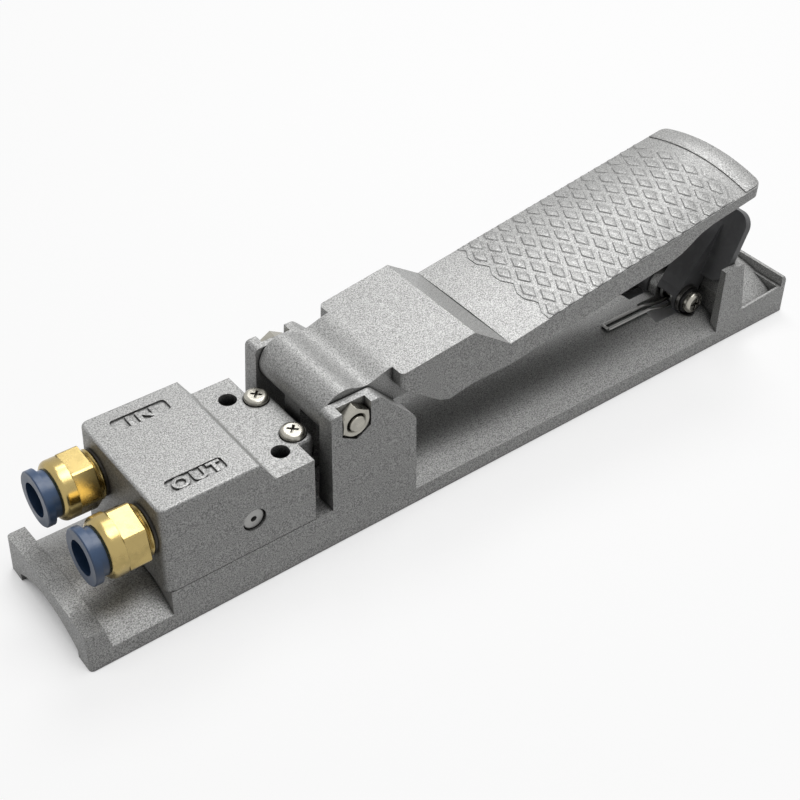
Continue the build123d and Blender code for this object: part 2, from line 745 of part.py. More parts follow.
def lever_neck():
    """Barrel, the soft valley behind it, and the nose that pushes the plunger."""
    barrel = rod_y(hinge_x, hinge_z, -barrel_half_width, barrel_half_width, barrel_radius)
    blend = radians(barrel_blend)
    start = (hinge_x + barrel_radius * sin(blend), hinge_z + barrel_radius * cos(blend))
    rise = (pad_end_z - pad_front_z) / (pad_end - neck_end)
    root = neck_end + 5.0
    root_z = pad_front_z + 5.0 * rise
    top_edge = [
        Bezier(start, (start[0] + valley_fall * cos(blend), start[1] - valley_fall * sin(blend)),
               (neck_end - valley_rise, pad_front_z - valley_rise * rise), (neck_end, pad_front_z)),
        Line((neck_end, pad_front_z), (root, root_z)),
        Line((root, root_z), (root, neck_underside)),
        Line((root, neck_underside), (hinge_x, neck_underside)),
        Line((hinge_x, neck_underside), start),
    ]
    neck = extrude(Plane.XZ.offset(-barrel_half_width) * make_face(top_edge), amount=2 * barrel_half_width)
    front = hinge_x - barrel_radius + 0.05
    nose = side_plate(
        [(front + 0.65, hinge_z), (front + 0.65, spool_z + 4.2), (front, spool_z + 3.2), (front, nose_tip_z + 0.8),
         (front + 0.8, nose_tip_z), (front + 4.0, nose_tip_z), (front + 6.0, hinge_z - 4), (front + 6.0, hinge_z)],
        -nose_half_width, nose_half_width)
    return barrel + neck + nose


def make_lever():
    """Whole lever casting."""
    lever = lever_outer() - skirt_cut() - lever_hollow()
    lever += lever_neck()
    lever -= rod_y(hinge_x, hinge_z, -barrel_half_width - 1, barrel_half_width + 1, bush_radius)
    lever += rod_y(hinge_x, hinge_z, -barrel_half_width + bush_length, return_coil_low - 1.2, bush_radius + 0.5)
    lever -= rod_y(hinge_x, hinge_z, -barrel_half_width + bush_length, return_coil_low - 1, hinge_bolt_radius + 0.4)
    cavity_low, cavity_high = return_coil_low - 0.5, return_coil_high + 0.5
    lever -= rod_y(hinge_x, hinge_z, cavity_low, cavity_high, return_coil_radius + return_wire + 0.5)
    lever -= block(hinge_x - 2, hinge_x + barrel_radius + 0.5, cavity_low, cavity_high, 10, neck_underside)
    lever -= block(hinge_x, hinge_x + return_coil_radius + 1.2, cavity_low, cavity_high, 10, hinge_z)
    return lever


# Lever lock
def lock_frame():
    """Local frame of the lock: up the leaning plate, from its pivot."""
    return Pos(lock_x, 0, lock_z) * Rot(0, lock_lean, 0)


def make_lock():
    """Winged plate on two arms that straddle the pivot lug."""
    back = lock_offset + lock_plate
    middle = (wing_bottom + wing_top) / 2
    blank = Pos(0, middle) * Rectangle(2 * wing_half_width, wing_top - wing_bottom)
    blank = fillet(blank.vertices().filter_by(lambda v: v.Y < middle), wing_low_corner)
    wing_face = fillet([v for v in blank.vertices() if abs(v.Y - wing_top) < 0.01], wing_high_corner)
    wing = extrude(Plane.YZ.offset(lock_offset) * wing_face, amount=lock_plate)
    arm_outline = [(-lock_boss_radius + 0.4, 1.0), (-lock_boss_radius + 1.0, 5.0), (lock_offset, wing_top - arm_drop),
                   (back, wing_top - arm_drop), (back, 0), (0, 0)]
    arm = side_plate(arm_outline, -arm_outer, -arm_inner) + rod_y(0, 0, -arm_outer, -arm_inner, lock_boss_radius)
    arm -= rod_y(0, 0, -arm_outer - 1, -arm_inner + 1, lock_screw_radius + running_clearance)
    lock = wing + mirrored(arm)
    coil_room = rod_y(0, 0, lock_coil_low, lock_coil_high, lock_coil_radius + lock_wire + 0.35)
    coil_exit = block(-lock_boss_radius - 1, 1.5, lock_coil_low, lock_coil_high, -lock_boss_radius - 1, 0)
    lock -= coil_room
    lock -= coil_exit
    return lock_frame() * lock


def make_lock_spring():
    """Double torsion spring whose joined legs lie on the saddle."""
    middle = (lock_coil_low - lug_half_width) / 2
    rest_z = saddle_top(abs(middle) - lock_leg_gap) + lock_wire + 0.1 - lock_z
    front = lock_leg_front - lock_x
    low = -lock_coil_radius
    leg = FilletPolyline(
        (front, lock_leg_gap, rest_z), (well_start + 0.8 - lock_x, lock_leg_gap, rest_z),
        (low - 2.0, lock_leg_gap, low), (0, lock_leg_gap, low), radius=lock_leg_bend)
    coil = Helix(pitch=lock_coil_pitch, height=lock_coil_pitch * lock_coil_turns, radius=lock_coil_radius, lefthand=True)
    coil = Pos(0, lock_leg_gap, 0) * Rot(0, 90, 0) * Rot(-90, 0, 0) * coil
    half = bent_wire([*leg.edges(), *coil.edges()], lock_wire)
    bridge = rod_y(front, rest_z, -lock_leg_gap, lock_leg_gap, lock_wire)
    spring = half + mirror(half, about=Plane.XZ) + bridge
    return Pos(lock_x, middle, lock_z) * spring


def make_lock_bush():
    """Flanged steel bush on the near side of the lock."""
    outer = -arm_outer - 0.1
    flange = rod_y(lock_x, lock_z, outer - 1.1, outer, lock_bush_radius)
    return flange - rod_y(lock_x, lock_z, outer - 2, 0, lock_screw_radius + 0.02)


def make_lock_washer():
    """Dark washer under the screw head."""
    outer = -arm_outer - 1.2
    washer = rod_y(lock_x, lock_z, outer - washer_thickness, outer, washer_radius)
    return washer - rod_y(lock_x, lock_z, outer - 2, 0, lock_screw_radius + 0.02)


def make_lock_screw():
    """Pivot screw with a cross recess, head on the near side."""
    head_inner = -arm_outer - 1.2 - washer_thickness
    head = rod_y(lock_x, lock_z, head_inner - lock_head_height, head_inner, lock_head_radius)
    head = fillet(head.faces().sort_by(Axis.Y)[0].edges(), 1.1)
    for turn in (10, 100):
        head -= Pos(lock_x, head_inner - lock_head_height, lock_z) * Rot(0, turn, 0) * Box(3.6, 2.0, 0.8)
    return head + rod_y(lock_x, lock_z, head_inner, arm_outer + 3.4, lock_screw_radius)


def make_lock_nut():
    """Nut on the far side of the lock."""
    nut = hexagon_y(lock_x, lock_z, arm_outer + 0.1, arm_outer + 2.9, nut_across)
    return nut - rod_y(lock_x, lock_z, 0, arm_outer + 4, lock_screw_radius + 0.01)


nodes = {
    "base_casting": make_base_casting(),
    "valve_body": make_valve_body(),
    "body_screws": make_body_screws(),
    "vent_plug": make_vent_plug(),
    "valve_spool": make_spool(),
    "spool_seals": make_spool_seals(),
    "spool_guide": make_spool_guide(),
    "wiper_seal": make_wiper_seal(),
    "spool_spring": make_spool_spring(),
    "hinge_bolt": make_hinge_bolt(),
    "hinge_nut": make_hinge_nut(),
    "hinge_bushes": make_hinge_bushes(),
    "lever_return_spring": make_return_spring(),
    "handle_lever": make_lever(),
    "lever_lock": make_lock(),
    "lock_spring": make_lock_spring(),
    "lock_bush": make_lock_bush(),
    "lock_washer": make_lock_washer(),
    "lock_pivot_screw": make_lock_screw(),
    "lock_nut": make_lock_nut(),
}
for port, side in (("inlet", 1), ("outlet", -1)):
    nodes[port + "_fitting"] = make_fitting(side)
    nodes[port + "_thread_seal"] = make_thread_seal(side)
    nodes[port + "_grab_ring"] = make_grab_ring(side)
    nodes[port + "_tube_seal"] = make_tube_seal(side)
    nodes[port + "_release_ring"] = make_release_ring(side)

os.makedirs("parts", exist_ok=True)
for name, shape in nodes.items():
    export_step(station * shape, f"parts/{name}.step")
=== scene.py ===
"""Looks of a control handle for a blast hose, built around its fixed frame."""

import json
import logging
import math
from dataclasses import dataclass
from enum import Enum, IntEnum
from typing import Any, Callable, Optional, Sequence, Union

import bmesh
import bpy
from mathutils import Matrix, Vector


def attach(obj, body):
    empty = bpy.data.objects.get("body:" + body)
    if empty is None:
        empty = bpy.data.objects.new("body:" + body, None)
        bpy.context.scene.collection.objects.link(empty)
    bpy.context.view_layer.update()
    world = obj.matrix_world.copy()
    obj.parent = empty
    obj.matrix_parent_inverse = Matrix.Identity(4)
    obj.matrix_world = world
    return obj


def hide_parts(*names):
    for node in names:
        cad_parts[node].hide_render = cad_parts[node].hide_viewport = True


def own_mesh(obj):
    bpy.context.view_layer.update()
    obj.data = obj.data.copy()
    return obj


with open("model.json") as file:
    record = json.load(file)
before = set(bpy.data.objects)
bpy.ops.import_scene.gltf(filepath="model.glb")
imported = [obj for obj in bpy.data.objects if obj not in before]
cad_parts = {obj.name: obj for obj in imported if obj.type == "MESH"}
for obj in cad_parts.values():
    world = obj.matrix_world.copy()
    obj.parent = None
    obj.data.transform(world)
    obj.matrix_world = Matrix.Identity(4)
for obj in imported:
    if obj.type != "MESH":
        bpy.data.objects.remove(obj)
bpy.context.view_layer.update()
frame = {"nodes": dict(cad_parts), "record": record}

log = logging.getLogger("control_handle")

Color = tuple[float, float, float]
Span = tuple[float, float]

MM = 0.001
HALF_LENGTH = 110.5 * MM
CLEAR_HEIGHT = 60.0  # millimetres, above the whole handle
MERGE_DISTANCE = 0.002 * MM
SHARP_EDGE = 35.0  # degrees


class Body(Enum):
    """Bodies that a piece can ride on."""

    BASE = "base"
    LEVER = "lever"


class MixSocket(IntEnum):
    """Sockets of a Mix node that blends two colours."""

    AMOUNT = 0
    RESULT = 2
    FIRST = 6
    SECOND = 7


def place(x: float, y: float, z: float) -> Vector:
    """Point in the frame from a station, an offset and a height.

    Args:
        x: Station from the fitting end, in millimetres.
        y: Offset across the hose, in millimetres.
        z: Height above the feet, in millimetres.

    Returns:
        The point in metres, in the frame's own axes.
    """
    return Vector((x * MM - HALF_LENGTH, y * MM, z * MM))


def clear_selection() -> None:
    """Deselects every object."""
    if bpy.context.object is not None and bpy.context.object.mode != "OBJECT":
        bpy.ops.object.mode_set(mode="OBJECT")
    bpy.ops.object.select_all(action="DESELECT")


def start_edit(piece: bpy.types.Object, elements: str = "FACE") -> None:
    """Opens a piece in edit mode with everything selected.

    Args:
        piece: The piece to shape.
        elements: What is selected from now on, VERT, EDGE or FACE.
    """
    clear_selection()
    piece.select_set(True)
    bpy.context.view_layer.objects.active = piece
    bpy.ops.object.mode_set(mode="EDIT")
    bpy.ops.mesh.select_mode(type=elements)
    bpy.ops.mesh.select_all(action="SELECT")


def choose_faces(piece: bpy.types.Object, test: Callable[[Vector], bool]) -> None:
    """Selects the faces of the piece in edit mode whose middle passes a test.

    Args:
        piece: The piece in edit mode.
        test: What a face's middle, in the frame's axes, has to pass.
    """
    mesh = bmesh.from_edit_mesh(piece.data)
    for face in mesh.faces:
        face.select_set(test(piece.matrix_world @ face.calc_center_median()))
    mesh.select_flush_mode()
    bmesh.update_edit_mesh(piece.data)


def inset_faces(margin: float, depth: float) -> None:
    """Insets each selected face by a margin and lifts it by a depth, both in metres."""
    bpy.ops.mesh.inset(use_individual=True, thickness=margin, depth=depth, use_even_offset=True)


def cut_away(point: Vector, outward: Vector) -> None:
    """Cuts the selected mesh along a plane and drops what lies outward of it."""
    bpy.ops.mesh.select_all(action="SELECT")
    bpy.ops.mesh.bisect(plane_co=point, plane_no=outward, clear_outer=True)


def add_modifier(piece: bpy.types.Object, kind: str, **settings: Any) -> None:
    """Adds a modifier to the piece and applies it."""
    bpy.context.view_layer.objects.active = piece
    made = piece.modifiers.new(kind.lower(), kind)
    for key, value in settings.items():
        setattr(made, key, value)
    bpy.ops.object.modifier_apply(modifier=made.name)


def settle(piece: bpy.types.Object, name: str, sharp: float = SHARP_EDGE) -> bpy.types.Object:
    """Finishes a piece: clean mesh, place in the mesh, soft shading.

    Args:
        piece: The piece that was shaped.
        name: Name it gets.
        sharp: Angle in degrees from which an edge stays sharp.

    Returns:
        The finished piece.
    """
    start_edit(piece, "VERT")
    bpy.ops.mesh.remove_doubles(threshold=MERGE_DISTANCE)
    bpy.ops.mesh.normals_make_consistent(inside=False)
    bpy.ops.object.mode_set(mode="OBJECT")
    bpy.ops.object.transform_apply(location=True, rotation=True, scale=True)
    bpy.ops.object.shade_smooth_by_angle(angle=math.radians(sharp))
    piece.name = name
    piece.data.name = name
    return piece


class Signal:
    """A shader value or colour that takes part in Python expressions."""

    def __init__(self, graph: "Graph", socket: Any) -> None:
        """Wraps a socket of a graph."""
        self.graph = graph
        self.socket = socket

    def _math(self, operation: str, other: "Operand", swap: bool = False, clamp: bool = False) -> "Signal":
        """Adds one Math node for this value and another.

        Args:
            operation: Name of the Math operation.
            other: The other operand.
            swap: Whether the other operand comes first.
            clamp: Whether the result stays between 0 and 1.

        Returns:
            The node's result.
        """
        pair = [other, self] if swap else [self, other]
        return self.graph.node("ShaderNodeMath", {"operation": operation, "use_clamp": clamp}, pair)

    def __add__(self, other: "Operand") -> "Signal":
        """Sum."""
        return self._math("ADD", other)

    def __radd__(self, other: "Operand") -> "Signal":
        """Sum with a number first."""
        return self._math("ADD", other, swap=True)

    def __sub__(self, other: "Operand") -> "Signal":
        """Difference."""
        return self._math("SUBTRACT", other)

    def __rsub__(self, other: "Operand") -> "Signal":
        """Difference with a number first."""
        return self._math("SUBTRACT", other, swap=True)

    def __mul__(self, other: "Operand") -> "Signal":
        """Product."""
        return self._math("MULTIPLY", other)

    def clamped(self) -> "Signal":
        """Same value, kept between 0 and 1."""
        return self._math("ADD", 0.0, clamp=True)


Operand = Union[Signal, float]


class Graph:
    """Node tree of one material or sky, filled by expressions."""

    def __init__(self, name: str, sky: bool = False) -> None:
        """Starts an empty material, or sky, of that name."""
        self.material = bpy.data.worlds.new(name) if sky else bpy.data.materials.new(name)
        self.material.use_nodes = True
        self.tree = self.material.node_tree
        self.tree.nodes.clear()

    def node(
        self,
        kind: str,
        settings: Optional[dict[str, Any]] = None,
        inputs: Union[Sequence[Any], dict[Any, Any], None] = None,
        output: Union[int, str] = 0,
    ) -> Signal:
        """Adds a node.

        Args:
            kind: Type of the node.
            settings: Its own settings, set before its sockets. The key stops
                holds a ramp's places and colours.
            inputs: Values or signals of its sockets, in order or by name.
            output: Which of its outputs to return.

        Returns:
            The chosen output.
        """
        made = self.tree.nodes.new(kind)
        for key, value in (settings or {}).items():
            if key == "stops":
                self._set_stops(made.color_ramp, value)
            else:
                setattr(made, key, value)
        pairs = inputs.items() if isinstance(inputs, dict) else enumerate(inputs or [])
        for key, value in pairs:
            if isinstance(value, Signal):
                self.tree.links.new(value.socket, made.inputs[key])
            elif value is not None:
                made.inputs[key].default_value = value
        return Signal(self, made.outputs[output])

    @staticmethod
    def _set_stops(ramp: Any, stops: Sequence[tuple[float, Sequence[float]]]) -> None:
        """Writes the stops of a colour ramp."""
        while len(ramp.elements) < len(stops):
            ramp.elements.new(0.5)
        for element, (position, color) in zip(ramp.elements, stops):
            element.position = position
            element.color = (*color, 1.0)

    def where(self) -> Signal:
        """Place on the piece, in metres."""
        return self.node("ShaderNodeTexCoord", output="Object")

    def noise(self, size: float, detail: float = 3.0, roughness: float = 0.6, seed: float = 0.0) -> Signal:
        """Noise whose patches are about a given size.

        Args:
            size: Size of a patch in metres.
            detail: Number of finer layers.
            roughness: Weight of the finer layers.
            seed: Shift that makes one noise differ from another.

        Returns:
            The noise, from 0 to 1.
        """
        moved = {"Vector": self.where(), "Location": (seed, seed, seed)}
        shifted = self.node("ShaderNodeMapping", None, moved)
        inputs = {"Vector": shifted, "Scale": 1.0 / size, "Detail": detail, "Roughness": roughness}
        return self.node("ShaderNodeTexNoise", None, inputs)

    def ramp(self, value: Signal, stops: Sequence[tuple[float, Sequence[float]]]) -> Signal:
        """Colour looked up along a ramp."""
        return self.node("ShaderNodeValToRGB", {"stops": stops}, [value])

    def spread(self, value: Signal, low: float, high: float) -> Signal:
        """Value stretched so that low becomes 0 and high becomes 1."""
        inputs = {"Value": value, "From Min": low, "From Max": high}
        return self.node("ShaderNodeMapRange", {"clamp": True}, inputs)

    def blend(self, amount: Operand, first: Union[Signal, Color], second: Union[Signal, Color]) -> Signal:
        """Mix of two colours, the first at an amount of 0 and the second at 1."""
        first, second = (
            color if isinstance(color, Signal) else (*color, 1.0) for color in (first, second)
        )
        inputs = {MixSocket.AMOUNT: amount, MixSocket.FIRST: first, MixSocket.SECOND: second}
        return self.node("ShaderNodeMix", {"data_type": "RGBA"}, inputs, MixSocket.RESULT)

    def worn_edge(self, radius: float) -> Signal:
        """Normal that rounds off the edges by a radius in metres."""
        return self.node("ShaderNodeBevel", {"samples": 4}, {"Radius": radius})

    def openness(self, reach: float) -> Signal:
        """How open a place is: 0 deep in a corner or hole, 1 on a free surface."""
        return self.node("ShaderNodeAmbientOcclusion", {"samples": 6}, {"Distance": reach}, "AO")

    def seen_plainly(self) -> Signal:
        """1 for rays of the camera, of reflections and through glass, 0 for scattered light."""
        path = self.tree.nodes.new("ShaderNodeLightPath")
        camera, glossy, clear = (
            Signal(self, path.outputs[f"Is {kind} Ray"]) for kind in ("Camera", "Glossy", "Transmission")
        )
        return (camera + glossy + clear).clamped()

    def bump(self, height: Signal, depth: float, below: Optional[Signal] = None) -> Signal:
        """Normal that follows a height.

        Args:
            height: Height from 0 to 1.
            depth: Height of a full step, in metres.
            below: Normal to start from.

        Returns:
            The bent normal.
        """
        inputs = {"Height": height, "Distance": depth, "Strength": 1.0, "Normal": below}
        return self.node("ShaderNodeBump", None, inputs)

    def surface(self, **sockets: Any) -> bpy.types.Material:
        """Ends the graph in a principled surface.

        Args:
            sockets: Values or signals, by socket name with spaces as underscores.

        Returns:
            The finished material.
        """
        named = {key.replace("_", " "): value for key, value in sockets.items()}
        shader = self.node("ShaderNodeBsdfPrincipled", None, named, "BSDF")
        return self.finish(shader)

    def finish(self, shader: Signal, kind: str = "ShaderNodeOutputMaterial") -> Any:
        """Joins a shader to the output and returns the material or sky."""
        made = self.tree.nodes.new(kind)
        self.tree.links.new(shader.socket, made.inputs["Surface"])
        return self.material


@dataclass(frozen=True)
class BlastedAluminium:
    """Cast aluminium, blasted and clear coated: fine bright and dark grain on grey, with painted shade in
    its corners and hollows.
    """

    name: str = "blasted_aluminium"
    dark: Color = (0.13, 0.13, 0.128)
    light: Color = (0.54, 0.54, 0.53)
    touched: Color = (0.36, 0.36, 0.35)
    touched_share: float = 0.12
    crease_shade: Color = (0.03, 0.03, 0.029)
    crease_shade_share: float = 0.92
    shade: Color = (0.004, 0.004, 0.004)
    shade_share: float = 0.96
    grain: float = 0.3 * MM
    grain_depth: float = 0.02 * MM
    grain_span: Span = (0.36, 0.66)
    cloud: float = 7.0 * MM
    cloud_span: Span = (0.3, 0.7)
    edge: float = 0.14 * MM
    corner: float = 0.8 * MM
    corner_shade_span: Span = (0.42, 0.94)
    hollow_shade: float = 9.0 * MM
    hollow_shade_span: Span = (0.18, 0.52)
    metallic: float = 0.32
    roughness: float = 0.46
    speck_gloss: float = 0.12
    cloud_dullness: float = 0.05

    def material(self) -> bpy.types.Material:
        """Builds the material."""
        graph = Graph(self.name)
        fine = graph.noise(self.grain, detail=2.0, roughness=0.8)
        cloud = graph.spread(graph.noise(self.cloud, detail=3.0, seed=0.31), *self.cloud_span)
        specks = graph.spread(fine, *self.grain_span)
        grey = graph.ramp(specks, [(0.0, self.dark), (1.0, self.light)])
        handled = graph.blend(cloud * self.touched_share, grey, self.touched)
        # Painted shade: a near-black colour laid into concave corners, where contact shade falls.
        corner = 1.0 - graph.spread(graph.openness(self.corner), *self.corner_shade_span)
        corner_shaded = graph.blend(corner * self.crease_shade_share, handled, self.crease_shade)
        # Painted shade: deep holes and gaps are darkened almost to black, where shade falls.
        hollow_shade = 1.0 - graph.spread(graph.openness(self.hollow_shade), *self.hollow_shade_span)
        tone = graph.blend(hollow_shade * self.shade_share, corner_shaded, self.shade)
        rough = self.roughness - specks * self.speck_gloss + cloud * self.cloud_dullness
        normal = graph.bump(fine, self.grain_depth, graph.worn_edge(self.edge))
        return graph.surface(Base_Color=tone, Metallic=self.metallic, Roughness=rough, Normal=normal)


@dataclass(frozen=True)
class DarkEnamel:
    """Smooth dark grey enamel on a casting, rubbed paler in patches."""

    name: str = "dark_enamel"
    color: Color = (0.082, 0.083, 0.086)
    rubbed: Color = (0.16, 0.16, 0.163)
    rubbed_share: float = 0.55
    rubbed_span: Span = (0.42, 0.78)
    patch: float = 4.0 * MM
    peel: float = 0.5 * MM
    peel_depth: float = 0.01 * MM
    edge: float = 0.35 * MM
    roughness: float = 0.40
    roughness_range: float = 0.14
    roughness_span: Span = (0.3, 0.7)

    def material(self) -> bpy.types.Material:
        """Builds the material."""
        graph = Graph(self.name)
        peel = graph.noise(self.peel, detail=2.0)
        patches = graph.noise(self.patch, detail=4.0, seed=0.7)
        worn = graph.spread(patches, *self.rubbed_span) * self.rubbed_share
        tone = graph.blend(worn, self.color, self.rubbed)
        rough = self.roughness + graph.spread(patches, *self.roughness_span) * self.roughness_range
        normal = graph.bump(peel, self.peel_depth, graph.worn_edge(self.edge))
        return graph.surface(Base_Color=tone, Metallic=0.0, Roughness=rough, Normal=normal)


@dataclass(frozen=True)
class TurnedMetal:
    """Bare turned or plated metal with faint tool marks and dull stains, and painted shade in its corners.
    """

    name: str
    color: Color
    roughness: float = 0.22
    roughness_range: float = 0.14
    roughness_span: Span = (0.35, 0.75)
    mark: float = 0.25 * MM
    mark_depth: float = 0.004 * MM
    stain: float = 3.0 * MM
    stain_span: Span = (0.48, 0.78)
    stain_share: float = 0.5
    dullness: float = 0.55
    edge: float = 0.14 * MM
    reach: float = 1.0 * MM
    corner_shade_span: Span = (0.2, 0.75)
    corner_shade_share: float = 0.9
    corner_shade_darkness: float = 0.06

    def material(self) -> bpy.types.Material:
        """Builds the material."""
        graph = Graph(self.name)
        marks = graph.noise(self.mark, detail=2.0)
        stain = graph.noise(self.stain, detail=3.0, seed=0.4)
        dull = tuple(channel * self.dullness for channel in self.color)
        deep = tuple(channel * self.corner_shade_darkness for channel in self.color)
        worn = graph.blend(graph.spread(stain, *self.stain_span) * self.stain_share, self.color, dull)
        # Painted shade: the colour is darkened in recesses and corners, such as a screw's cross, where
        # shade falls.
        corner_shade_amount = 1.0 - graph.spread(graph.openness(self.reach), *self.corner_shade_span)
        tone = graph.blend(corner_shade_amount * self.corner_shade_share, worn, deep)
        rough = self.roughness + graph.spread(stain, *self.roughness_span) * self.roughness_range
        normal = graph.bump(marks, self.mark_depth, graph.worn_edge(self.edge))
        return graph.surface(Base_Color=tone, Metallic=1.0, Roughness=rough, Normal=normal)


@dataclass(frozen=True)
class MouldedPlastic:
    """Moulded plastic or rubber."""

    name: str
    color: Color
    roughness: float = 0.35
    roughness_range: float = 0.1
    roughness_span: Span = (0.3, 0.7)
    cloud: float = 2.5 * MM
    pale_span: Span = (0.4, 0.8)
    pale_share: float = 0.35
    pale_gain: float = 1.5
    pale_lift: float = 0.01
    skin: float = 0.35 * MM
    skin_depth: float = 0.008 * MM

    def material(self) -> bpy.types.Material:
        """Builds the material."""
        graph = Graph(self.name)
        cloud = graph.noise(self.cloud, detail=3.0)
        skin = graph.noise(self.skin, detail=2.0, seed=0.2)
        pale = tuple(min(1.0, channel * self.pale_gain + self.pale_lift) for channel in self.color)
        tone = graph.blend(graph.spread(cloud, *self.pale_span) * self.pale_share, self.color, pale)
        rough = self.roughness + graph.spread(cloud, *self.roughness_span) * self.roughness_range
        normal = graph.bump(skin, self.skin_depth)
        return graph.surface(Base_Color=tone, Metallic=0.0, Roughness=rough, Normal=normal)


class Finishes:
    """All the finishes of the handle, by the record's slot."""

    def __init__(self) -> None:
        """Builds one material for each slot."""
        recipes = {
            "cast_aluminium": BlastedAluminium(),
            "dark_enamel": DarkEnamel(),
            "plain_steel": TurnedMetal("plain_steel", (0.12, 0.117, 0.11), 0.25),
            "black_washer": TurnedMetal("black_washer", (0.05, 0.05, 0.05), 0.4),
            "nickel_plate": TurnedMetal("nickel_plate", (0.40, 0.385, 0.34), 0.22),
            "bronze": TurnedMetal("bronze", (0.45, 0.27, 0.11), 0.35),
            "bright_brass": TurnedMetal("bright_brass", (0.43, 0.33, 0.135), 0.2),
            "blue_plastic": MouldedPlastic("blue_plastic", (0.034, 0.072, 0.15), 0.3),
            "black_rubber": MouldedPlastic("black_rubber", (0.012, 0.012, 0.012), 0.6),
            "thread_sealant": MouldedPlastic("thread_sealant", (0.03, 0.026, 0.02), 0.5),
            "spring_wire": TurnedMetal("spring_wire", (0.32, 0.32, 0.31), 0.32),
        }
        self.by_slot = {slot: recipe.material() for slot, recipe in recipes.items()}
        self.by_node = {"vent_plug": TurnedMetal("plug_metal", (0.34, 0.34, 0.33), 0.38).material()}

    def dress_frame(self) -> None:
        """Gives each fixed node the material of its slot."""
        slots = {part["node"]: part["material_slot"] for part in frame["record"]["subparts"]}
        for name, node in frame["nodes"].items():
            node.data.materials.clear()
            node.data.materials.append(self.by_node.get(name, self.by_slot[slots[name]]))
            log.info("node %s: %s", name, slots[name])


